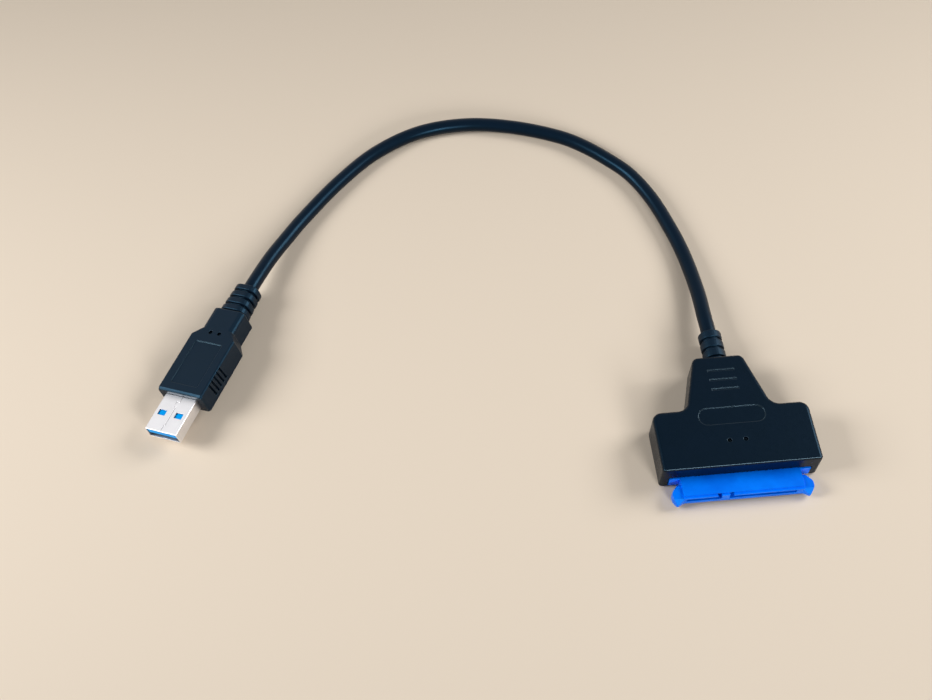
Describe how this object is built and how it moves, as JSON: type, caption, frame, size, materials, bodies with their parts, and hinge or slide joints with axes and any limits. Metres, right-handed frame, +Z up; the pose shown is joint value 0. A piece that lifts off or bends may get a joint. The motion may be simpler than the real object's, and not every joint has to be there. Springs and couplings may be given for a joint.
{
  "type": "USB to SATA adapter",
  "caption": "Short adapter cable with a wide moulded receptacle for a disk drive at one end and a flat USB plug at the other.",
  "frame": {"origin": "bottom centre of the drive end's box, relief and guides included and the cord and plug left out", "axes": "+Z up as it lies on a table, +Y from the drive end into the cord, the receptacle faces -Y"},
  "size_m": [0.2086, 0.1655, 0.0119],
  "materials": {
    "black_housing": "satin, moulded",
    "black_soft": "satin, moulded",
    "black_jacket": "satin",
    "blue_plastic": "satin, moulded",
    "contact_gold": "gold plated",
    "plated_steel": "nickel plated",
    "board_green": "solder mask",
    "chip_black": "matt, moulded",
    "ferrite_grey": "matt",
    "can_steel": "satin",
    "ceramic_tan": "satin",
    "mould_white": "plain, moulded",
    "wire_red": "satin",
    "wire_black": "satin",
    "wire_green": "satin",
    "wire_blue": "satin",
    "wire_yellow": "satin"
  },
  "bodies": {
    "root": {"sata_housing": "black_housing", "sata_strain_relief": "black_soft", "sata_connector_body": "blue_plastic", "signal_contact_1": "contact_gold", "signal_contact_2": "contact_gold", "signal_contact_3": "contact_gold", "signal_contact_4": "contact_gold", "signal_contact_5": "contact_gold", "signal_contact_6": "contact_gold", "signal_contact_7": "contact_gold", "power_contact_01": "contact_gold", "power_contact_02": "contact_gold", "power_contact_03": "contact_gold", "power_contact_04": "contact_gold", "power_contact_05": "contact_gold", "power_contact_06": "contact_gold", "power_contact_07": "contact_gold", "power_contact_08": "contact_gold", "power_contact_09": "contact_gold", "power_contact_10": "contact_gold", "power_contact_11": "contact_gold", "power_contact_12": "contact_gold", "power_contact_13": "contact_gold", "power_contact_14": "contact_gold", "power_contact_15": "contact_gold", "inner_mould": "mould_white", "circuit_board": "board_green", "bridge_chip": "chip_black", "flash_chip": "chip_black", "voltage_regulator": "chip_black", "power_inductor": "ferrite_grey", "crystal": "can_steel", "input_capacitor": "ceramic_tan", "output_capacitor": "ceramic_tan", "sata_power_wire": "wire_red", "sata_ground_wire": "wire_black", "sata_data_pair": "wire_green", "sata_fast_send_pair": "wire_blue", "sata_fast_receive_pair": "wire_yellow", "cord": "black_jacket", "usb_strain_relief": "black_soft", "usb_overmould": "black_soft", "usb_inner_mould": "mould_white", "usb_shell": "plated_steel", "usb_tongue": "blue_plastic", "plug_contact_1": "contact_gold", "plug_contact_2": "contact_gold", "plug_contact_3": "contact_gold", "plug_contact_4": "contact_gold", "fast_contact_1": "contact_gold", "fast_contact_2": "contact_gold", "fast_contact_3": "contact_gold", "fast_contact_4": "contact_gold", "fast_contact_5": "contact_gold", "plug_power_wire": "wire_red", "plug_ground_wire": "wire_black", "plug_data_pair": "wire_green", "plug_fast_send_pair": "wire_blue", "plug_fast_receive_pair": "wire_yellow"}
  },
  "joints": []
}
